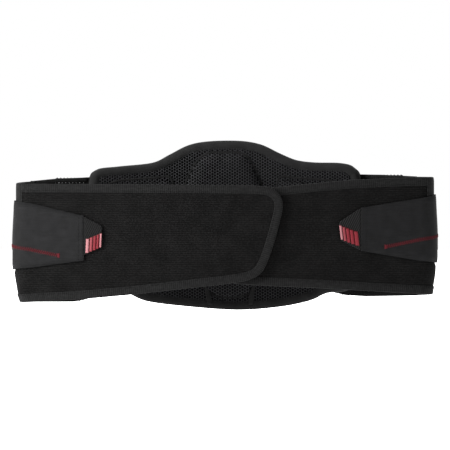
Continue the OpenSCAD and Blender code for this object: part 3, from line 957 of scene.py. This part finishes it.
# A ridge's height by its place across and along
RIDGE_ACROSS = ((0.0, 0.0), (0.02, 0.45), (0.12, 0.8), (0.3, 0.96), (0.5, 1.0), (0.7, 0.96), (0.88, 0.8),
                (0.98, 0.45), (1.0, 0.0))
RIDGE_ALONG = ((0.0, 0.0), (0.004, 0.5), (0.025, 0.85), (0.07, 1.0), (0.3, 1.0), (0.5, 1.0), (0.7, 1.0), (0.93, 1.0),
               (0.975, 0.85), (0.996, 0.5), (1.0, 0.0))


def ridge(name, side, low_end, high_end, n, height, material):
    """A moulded bar: a rounded ridge between its low and high ends, each given as (near s, far s, z)."""
    points = []
    for t, rise in RIDGE_ALONG:
        a, b, z = on_line(low_end, high_end, t)
        points += [(a + (b - a) * u, z, n + height * min(rise, crown)) for u, crown in RIDGE_ACROSS]
    wide, rows = len(RIDGE_ACROSS), len(RIDGE_ALONG)
    faces = [(i * wide + k, i * wide + k + 1, (i + 1) * wide + k + 1, (i + 1) * wide + k)
             for i in range(rows - 1) for k in range(wide - 1)]
    grid = np.arange(rows * wide).reshape(rows, wide)
    foot = [*grid[0], *grid[1:, -1], *grid[-1, -2::-1], *grid[-2:0:-1, 0]]
    faces.append(tuple(reversed(foot)))
    q = np.array(points)
    return make(name, side.at(*q.T), faces, material, q[:, :2])


def build_tab(hand):
    side, name = SIDES[hand], NAMES[hand]
    hinge, length, (near_z, tip_z) = TAB_HINGE[hand], TAB_L[hand], TAB_Z[hand]
    (first, last, lean), slope = BARS_Z[hand], TWILL_SLOPE[hand]
    strap, tab, end_x = "strap_" + name, "tab_" + name, STRAP_END[hand]
    y = JOINT_AT[tab + "_lift"][1]
    bend = (tab, (end_x * MM, y, 0), ((hinge - hand * 1.5) * MM, y, 0))
    tip, tucked, hinged, under = (side.front_s(x, STRAP_IN + TAB_T / 2)
                                  for x in (hinge - hand * length, end_x + hand * 3, hinge, end_x))
    corners = [(tip + lean, tip_z[1]), (tip, tip_z[0]), (hinged, near_z[0]), (tucked, near_z[0]),
               (tucked, near_z[1]), (hinged, near_z[1])]
    # Tip corners are cut round
    ring = [on_line(corners[0], corners[5], 0.08), on_line(corners[0], corners[1], 0.05),
            on_line(corners[0], corners[1], 0.95), on_line(corners[1], corners[2], 0.08)] + corners[2:]

    def thin(s):
        """The webbing is thinner under the strap."""
        return ease((s - under + 1.6) / 1.6)

    def upper(s, z):
        ribs = 0.18 * np.sin((s + z * slope) * 2 * math.pi / TWILL_PITCH) - 0.12
        return STRAP_IN + TAB_T - 0.75 * thin(s) + ribs

    webbing = cloth(tab + "_webbing", side.at, ring, upper, lambda s, z: STRAP_IN + 0.35 * thin(s),
                    MAT["twill_" + name], 0.6, None, 0.3)
    settle(webbing, strap, ["pull_tab_" + name], bend)
    declare(ring)

    face = STRAP_IN + TAB_T
    near, far = hinge - hand * 0.15, hinge - hand * (length - 0.25)
    near_s, far_s = side.front_s(near, face), side.front_s(far, face)
    low_near, low_far = (first + (last - first) / length * abs(hinge - x) - BAR_H / 2 for x in (near, far))
    base = [(far_s + lean, low_far), (far_s, low_far + BAR_H), (near_s - lean, low_near + BAR_H), (near_s, low_near)]
    plate = cloth(tab + "_grip_base", side.at, base, face + 0.28, face - 0.1, MAT["grip_base"], 1.5, None, 0.12)
    settle(plate, tab)
    share = (length - lean - 0.5 - BAR_GAP * (BARS - 1)) / sum(BAR_SHARES)
    x = hinge - hand * (lean + 0.3)
    for i, (colour, width) in enumerate(zip(BAR_COLOURS[hand], BAR_SHARES)):
        a, b = side.front_s(x, face), side.front_s(x - hand * share * width, face)
        x -= hand * (share * width + BAR_GAP)
        z, half = first + (last - first) * (i + 0.5) / BARS, BAR_H / 2 - 0.3
        bar = ridge(tab + "_bar_" + str(i + 1), side, (a + lean, b + lean, z - half), (a, b, z + half), face + 0.2,
                    0.95, MAT[colour])
        settle(bar, tab, ["tab_bars_" + name] if i == 0 else ())


for hand in (LEFT, RIGHT):
    build_tab(hand)


# ---------------------------------------------------------------- back pad

RIM_W = 9.5
PAD_S = BACK.outline(PAD, -6)
LUMBAR_S = BACK.outline(LUMBAR, -17)
SIDE_PAD_S = BACK.outline(SIDE_PAD, -16)
MIRRORED = [(-x, z) for x, z in reversed(SIDE_PAD_S)]
STAY_S = (-88, -56, 56, 88)
PILLOW_IN = LINING - 0.05
LUMBAR_TOP, SIDE_TOP = 7.0, 4.0
VOXEL_M = 0.0022


def flat_at(s, z, n):
    """The pad laid flat: pillows are blown up here, then bent to the back."""
    return np.stack(spread(s, z, n), axis=-1) * MM


def line_gap(s, z, lines):
    """Distance to the nearest point of some lines."""
    return gap_to(np.stack([s, z], axis=1), np.vstack([resample(line, 1.0, closed=False) for line in lines]))


def slab(name, outline, tall, shoulder, grooves):
    """A low domed block over an outline: its height falls off towards its edge and its grooves."""
    outer = resample(outline, 1.6)
    flat, faces, border = flat_grid(inset(outer, 0.4), 2.0, 0.9)
    t = np.clip(gap_to(flat, outer) / shoulder, 0, 1)
    dome = tall * np.sqrt(1 - (1 - t) ** 2) + 0.25
    dome *= 1 - 0.45 * np.exp(-(line_gap(*flat.T, grooves) / 2.6) ** 2)
    count = len(flat)
    points = np.vstack([flat_at(*flat.T, PILLOW_IN - dome), flat_at(*flat.T, PILLOW_IN)])
    faces = faces + [tuple(i + count for i in reversed(f)) for f in faces]
    faces += [(a, b, b + count, a + count) for a, b in zip(border, border[1:] + border[:1])]
    return make(name, points, faces, MAT["ground"])


def applied(obj):
    """The object's mesh with its modifiers as they stand."""
    return bpy.data.meshes.new_from_object(obj.evaluated_get(bpy.context.evaluated_depsgraph_get()))


def points_of(mesh):
    return np.array([v.co[:] for v in mesh.vertices])


def blow_up(obj, cap):
    """Cloth with pressure inside: the pillow swells and its seams pull in; it stays on the pad."""
    remesh = obj.modifiers.new("voxels", "REMESH")
    remesh.mode, remesh.voxel_size, remesh.use_smooth_shade = "VOXEL", VOXEL_M, True
    obj.data = applied(obj)
    obj.modifiers.clear()
    before = points_of(obj.data)
    pinned = obj.vertex_groups.new(name="sewn")
    low = np.nonzero(before[:, 2] > (PILLOW_IN - 0.9) * MM)[0]
    pinned.add([int(i) for i in low], 1.0, "REPLACE")
    settings = obj.modifiers.new("cloth", "CLOTH").settings
    settings.quality = 5
    settings.mass = 0.15
    settings.tension_stiffness = 30
    settings.use_pressure = True
    settings.uniform_pressure_force = 4
    settings.vertex_group_mass = "sewn"
    settings.effector_weights.gravity = 0
    for step in range(1, 21):
        bpy.context.scene.frame_set(step)
    move = points_of(applied(obj)) - before
    obj.modifiers.clear()
    bpy.context.scene.frame_set(1)
    far = np.linalg.norm(move, axis=1)
    before += move * np.minimum(1, cap * MM / np.maximum(far, 1e-9))[:, None]
    obj.data.vertices.foreach_set("co", before.ravel())
    smooth = obj.modifiers.new("subdivision", "SUBSURF")
    smooth.levels = smooth.render_levels = 1
    obj.data = applied(obj)
    obj.modifiers.clear()
    obj.vertex_groups.clear()


def top_of(pillow):
    """The height of a flat pillow's top, as a function of (s, z)."""
    tree = BVHTree.FromPolygons([v.co.copy() for v in pillow.data.vertices],
                                [p.vertices[:] for p in pillow.data.polygons])

    def height(s, z):
        hits = [tree.ray_cast(Vector((a * MM, b * MM, -0.05)), Vector((0, 0, 1)), 0.1)[0] for a, b in zip(s, z)]
        return np.array([PILLOW_IN if hit is None else min(PILLOW_IN, hit.z / MM) for hit in hits])

    return height


def hex_net(name, place, outline, height, material, pitch=3.1, hole=0.77, thick=0.9, skip=None, sign=-1,
            upright=True):
    """Knitted mesh with real hexagonal holes, in upright columns or level rows. height gives its outer face at
    (s, z); sign is the way that face looks."""
    order = -1 if upright else 1
    outline = np.array(outline)[:, ::order]
    low, high = outline.min(0), outline.max(0)
    row = pitch * 0.866
    rows = np.arange(math.floor(low[1] / row), math.ceil(high[1] / row) + 1)
    columns = range(math.floor(low[0] / pitch), math.ceil(high[0] / pitch) + 1)
    centres = np.array([((k + 0.5 * (j % 2)) * pitch, j * pitch * 0.866) for j in rows for k in columns])
    centres = centres[inside(centres, outline)][:, ::order]
    if skip is not None:
        centres = centres[~skip(centres)]
    turn = np.radians((0 if upright else 30) + 60 * np.arange(6))
    corner = np.stack([np.cos(turn), np.sin(turn)], axis=1) * pitch / math.sqrt(3)
    outer = (centres[:, None, :] + corner[None]).reshape(-1, 2)
    _, first, back_to = np.unique(np.round(outer, 3), axis=0, return_index=True, return_inverse=True)
    knots = outer[first]
    rim = (centres[:, None, :] + corner[None] * hole).reshape(-1, 2)
    jitter = waves(rim[:, 0] * 9.7, rim[:, 1] * 9.7, 1.0, 0.12, 2.2)
    rim = rim + np.stack([jitter, -jitter], axis=1) * 0.5
    top_knots, top_rim = height(*knots.T), height(*rim.T)
    levels = [(knots, top_knots), (rim, top_rim - sign * 0.22 * thick), (rim, top_rim - sign * 0.8 * thick),
              (knots, top_knots - sign * thick)]
    a, b, c = len(knots), len(knots) + len(rim), len(knots) + 2 * len(rim)
    faces, used = [], {}
    for cell, ring in enumerate(back_to.reshape(-1, 6)):
        for i in range(6):
            j = (i + 1) % 6
            p, q, u, v = int(ring[i]), int(ring[j]), cell * 6 + i, cell * 6 + j
            faces += [(p, q, a + v, a + u), (a + u, a + v, b + v, b + u), (b + u, b + v, c + q, c + p)]
            key = (min(p, q), max(p, q))
            used[key] = None if key in used else (p, q)
    faces += [(c + e[0], c + e[1], e[1], e[0]) for e in used.values() if e]
    points = np.vstack([place(*q.T, n) for q, n in levels])
    return make(name, points, faces, material, np.vstack([q for q, _ in levels]))


def bend_to_back(obj):
    """Bends a flat pillow to the back."""
    co = points_of(obj.data) / MM
    obj.data.vertices.foreach_set("co", BACK.at(*co.T).ravel())
    set_uv(obj.data, co[:, :2])
    obj.data.polygons.foreach_set("use_smooth", [True] * len(obj.data.polygons))
    obj.data.update()
    face_outwards(obj.data)


def build_pillow(name, node, outline, tall, shoulder, grooves):
    """A raised pad on the wearer's side, with its mesh cover, edge seam and sewn channels. Returns its outline."""
    ring = inset(resample(outline, 2.0), 1.2)
    pillow = slab("pad_" + name, ring, tall - 1.4, shoulder, grooves)
    blow_up(pillow, 1.1)
    top = top_of(pillow)
    cover = hex_net("pad_" + name + "_mesh", BACK.at, ring,
                    lambda s, z: np.maximum(top(s, z) - 0.55, PILLOW_IN - tall - 0.9), MAT["net"], thick=0.8)
    settle(cover, "back")
    pillow.data.materials.clear()
    pillow.data.materials.append(MAT["ground"])
    bend_to_back(pillow)
    settle(pillow, "back", [node])
    # The seam cord's dark colour is partly painted shade of the groove between pillow and lining
    section = [(1.2 * math.cos(t) + 0.2, PILLOW_IN - 0.1 + 0.6 * math.sin(t))
               for t in np.linspace(0, -2 * math.pi, 8, endpoint=False)]
    settle(sweep("pad_" + name + "_seam", BACK.at, ring, section, MAT["seam"], closed=True), "back")
    return ring


def build_pad():
    lumbar_grooves = [[(-20, 30), (0, 24), (20, 30)], [(-20, -20), (0, -26), (20, -20)]]
    side_groove = [(88, 62), (92, 10), (86, -52)]
    covered = [
        build_pillow("lumbar", "lumbar_pad", LUMBAR_S, LUMBAR_TOP, 13.0, lumbar_grooves),
        build_pillow("side_right", "side_pad_right", SIDE_PAD_S, SIDE_TOP, 16.0, [side_groove]),
        build_pillow("side_left", "side_pad_left", MIRRORED, SIDE_TOP, 16.0, [[(-x, z) for x, z in side_groove]]),
    ]

    contour = inset(resample(PAD_S, 2.0), 13.0)
    channels = [np.vstack([contour, contour[:1]])]
    for x in STAY_S:
        a, b, low, high = x - 6, x + 6, -48, 56
        channels += [[(a, low), (a, high)], [(b, low), (b, high)], [(a, high), (b, high)], [(a, low), (b, low)]]
    channels += [[(-40, z - 9), (0, z), (40, z - 9)] for z in (-36, -18, 0, 18, 36, 54)]
    shell = cloth("back_cover", BACK.at, PAD_S, PAD_OUT - 0.6, PAD_OUT - 1.7, MAT["shell"], 2.6,
                  lambda s, z: 0.55 - np.exp(-(line_gap(s, z, channels) / 1.5) ** 2), 0.4)
    settle(shell, "back", ["back_shell"])
    declare(PAD_S)
    for index, line in enumerate(channels):
        stitches("back_cover_stitches_" + str(index), BACK.at, line, 0, PAD_OUT - 0.95, "back",
                 length=2.6, gap=1.2)

    lining_ring = inset(resample(PAD_S, 2.0), RIM_W - 1.2)
    ground = cloth("lining_ground", BACK.at, lining_ring, LINING + 2.0, LINING + 0.9, MAT["ground"], round_by=0.3)
    settle(ground, "back", ["back_lining"])
    declare(lining_ring)
    hidden = [inset(ring, 4.0) for ring in covered]
    net = hex_net("lining_mesh", BACK.at, lining_ring, lambda s, z: np.full(len(s), LINING), MAT["net"],
                  skip=lambda c: np.any([inside(c, ring) for ring in hidden], axis=0))
    settle(net, "back")

    section = [(0.5, -3.5), (0.0, -5.2), (-0.1, -7.8), (0.25, -10.4), (1.2, -12.4), (2.8, -13.7), (4.8, -14.1),
               (6.8, -13.8), (8.4, -13.1), (9.3, -12.3), (9.5, -11.2), (9.4, -7.5), (9.0, -3.5)]
    rim = sweep("back_rim_roll", BACK.at, PAD_S, section, MAT["rim"], closed=True,
                lift=lambda s, z: waves(s, z, 17, 0.35, 6.6))
    settle(rim, "back", ["back_rim"])
    # Short ribs below the lumbar pad
    for index, (low_x, high_x) in enumerate(((-16, -23), (27, 32))):
        rib = ridge("pad_rib_" + str(index + 1), BACK, (low_x - 2.6, low_x + 2.6, -73), (high_x - 2, high_x + 2, -40),
                    PILLOW_IN + 0.3, -2.6, MAT["rim"])
        settle(rib, "back")
    stitches("back_rim_stitches", BACK.at, PAD_S, 8.9, -12.75, "back", material="rim_thread",
             closed=True, radius=0.22)


build_pad()


# ---------------------------------------------------------------- side wings of open mesh

SEAM_X = 145


def build_side(hand, points):
    side, name = SIDES[hand], "side_" + NAMES[hand]
    outline = BACK.outline(points, 0)
    ring = inset(resample(outline, 2.0), 1.0)
    net = hex_net(name + "_mesh", BACK.at, ring, lambda s, z: np.full(len(s), 0.85), MAT["side_net"], pitch=3.7,
                  hole=0.14, thick=1.7, sign=1, upright=False)
    settle(net, "back", ["side_mesh_" + NAMES[hand]])
    declare(ring)
    dense = resample(outline, 1.0)
    from_middle = np.abs(dense[:, 0])
    seam_s, rear_s = (BACK.outline([(x, 0)], 0)[0][0] for x in (SEAM_X, REAR_SEAM + 0.4))
    outside = dense[(from_middle > seam_s) & (from_middle < rear_s)]
    for label, part in (("top", outside[outside[:, 1] > 0]), ("bottom", outside[outside[:, 1] < 0])):
        # Clockwise, so that the inside of the outline is on the tape's inner side
        path = part[np.argsort(part[:, 0] if label == "top" else -part[:, 0])]
        piece = sweep(name + "_binding_" + label, BACK.at, path, channel(1.5, SIDE_BINDING_W), MAT["side_binding"],
                      pucker=0.02)
        settle(piece, "back", ["side_binding_" + NAMES[hand]] if label == "top" else ())
        for sign, face in ((1, "outer"), (-1, "inner")):
            stitches(name + "_stitches_" + label + "_" + face, BACK.at, path, SIDE_BINDING_W - 1.2,
                     sign * (1.5 + BINDING_T + 0.02), "back")

    # Tape that sews the mesh to the pad's cover
    inner = dense[from_middle < seam_s + 3]
    start = np.argmax(np.linalg.norm(inner - np.roll(inner, 1, axis=0), axis=1))
    path = np.roll(inner, -start, axis=0)
    section = [(0.0, 0.9), (0.4, 1.45), (4.0, 1.55), (8.4, 1.45), (8.8, 0.9), (8.4, 0.75), (0.4, 0.75)]
    settle(sweep(name + "_seam", BACK.at, path, section, MAT["patch"]), "back")
    for index, d in enumerate((1.8, 7.0)):
        stitches(name + "_seam_stitches_" + str(index), BACK.at, path, d, 1.52, "back")

    # Tape over the seam between the mesh and the wing
    high, low = REAR_Z[hand][0] - 4.2, REAR_Z[hand][1] + 4.2
    a, b = side.back_s(hand * (REAR_SEAM + 2)), side.back_s(hand * (REAR_SEAM - 10))
    for sign, label in ((1, "outer"), (-1, "inner")):
        n_in, n_out = sorted((sign * 1.75, sign * 2.45))
        join = ribbon(name + "_join_" + label, side.at, [(a, high, low), (b, high, low)], n_in, n_out, MAT["patch"])
        settle(join, "back")
        for index, s in enumerate((a + 2, b - 2)):
            stitches(name + "_join_stitches_" + label + "_" + str(index), side.at, [(s, low + 1), (s, high - 1)], 0,
                     sign * 2.5, "back")


build_side(LEFT, MESH_LEFT)
build_side(RIGHT, MESH_RIGHT)


# ---------------------------------------------------------------- inner parts kept from the frame

KEPT = {"back_foam": "foam", "lumbar_plate": "plate", "stay_outer_left": "stay", "stay_inner_left": "stay",
        "stay_inner_right": "stay", "stay_outer_right": "stay"}
for node, key in KEPT.items():
    mesh = frame["nodes"][node].data
    mesh.materials.clear()
    mesh.materials.append(MAT[key])
